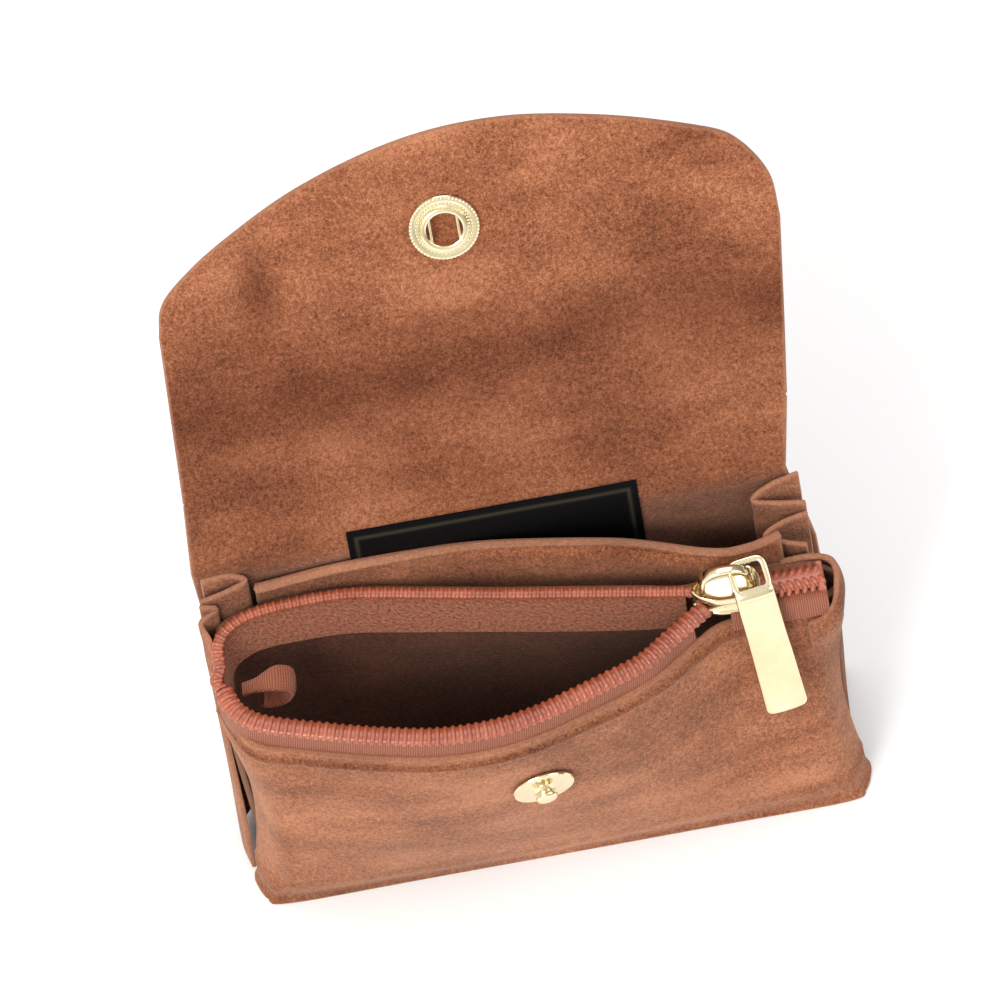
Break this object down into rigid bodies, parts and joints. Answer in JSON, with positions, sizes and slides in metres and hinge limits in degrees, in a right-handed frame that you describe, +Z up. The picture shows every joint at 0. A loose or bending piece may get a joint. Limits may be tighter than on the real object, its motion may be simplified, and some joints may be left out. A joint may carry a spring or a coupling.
{
  "type": "suede flap purse",
  "caption": "Small open suede flap purse with a coil zip pocket in front, open pockets behind it, gusseted sides and a metal press stud on the flap.",
  "frame": {"origin": "on the base's underside, at mid width and 7.5 mm behind the front wall's foot", "axes": "+X to the right seen from the front, +Y to the back, +Z up"},
  "size_m": [0.1125, 0.078, 0.1513],
  "materials": {
    "tan_suede": "tan-brown suede with a short brushed nap",
    "zip_tape": "terracotta woven tape with fine ribs",
    "nylon_coil": "terracotta nylon, glossy",
    "pale_gold": "pale champagne gold plating, polished",
    "black_satin": "black woven satin"
  },
  "bodies": {
    "root": {"back_panel": "tan_suede", "base_panel": "tan_suede", "divider_panel": "tan_suede", "pocket_rear_panel": "tan_suede", "gusset_left_front": "tan_suede", "gusset_left_rear": "tan_suede", "gusset_right_front": "tan_suede", "gusset_right_rear": "tan_suede", "zip_tape_rear": "zip_tape", "zip_tape_closed": "zip_tape", "zip_tape_tail": "zip_tape", "zip_coil_rear": "nylon_coil", "zip_coil_closed": "nylon_coil", "zip_end_stop": "nylon_coil", "inner_label": "black_satin"},
    "front_wall": {"front_panel": "tan_suede", "zip_tape_front": "zip_tape", "zip_coil_front": "nylon_coil", "snap_stud": "pale_gold", "snap_stud_back": "pale_gold"},
    "flap_bridge": {"flap_bridge": "tan_suede"},
    "flap_face": {"flap_face": "tan_suede", "snap_socket": "pale_gold", "snap_spring": "pale_gold", "snap_cap": "pale_gold"},
    "slider": {"slider_body": "pale_gold", "slider_bail": "pale_gold"},
    "pull": {"pull_tab": "pale_gold"}
  },
  "joints": [
    {"name": "flap_fold", "type": "hinge", "parent": "root", "child": "flap_bridge", "pos_m": [0, 0.0165, 0.08], "axis": [1, 0, 0], "range_deg": [-30, 122]},
    {"name": "flap_bend", "type": "hinge", "parent": "flap_bridge", "child": "flap_face", "pos_m": [0, 0.02991, 0.1075], "axis": [1, 0, 0], "range_deg": [-21, 85.5]},
    {"name": "mouth_close", "type": "hinge", "parent": "root", "child": "front_wall", "pos_m": [0, -0.0075, 0], "axis": [1, 0, 0], "range_deg": [-8.01, 2], "deforming": ["front_panel", "zip_tape_front", "zip_coil_front"]},
    {"name": "zip_slide", "type": "slide", "parent": "root", "child": "slider", "axis": [1, 0, 0], "range_m": [0, 0.009], "deforming": ["zip_coil_closed", "zip_tape_closed"]},
    {"name": "pull_swing", "type": "hinge", "parent": "slider", "child": "pull", "pos_m": [0.0399, 0, 0.07405], "axis": [0, -0.4067, 0.9135], "range_deg": [-8, 14]}
  ],
  "couplings": [
    {"joint": "flap_bend", "follows": "flap_fold", "ratio": 0.697},
    {"joint": "mouth_close", "follows": "flap_fold", "ratio": -0.06527}
  ]
}
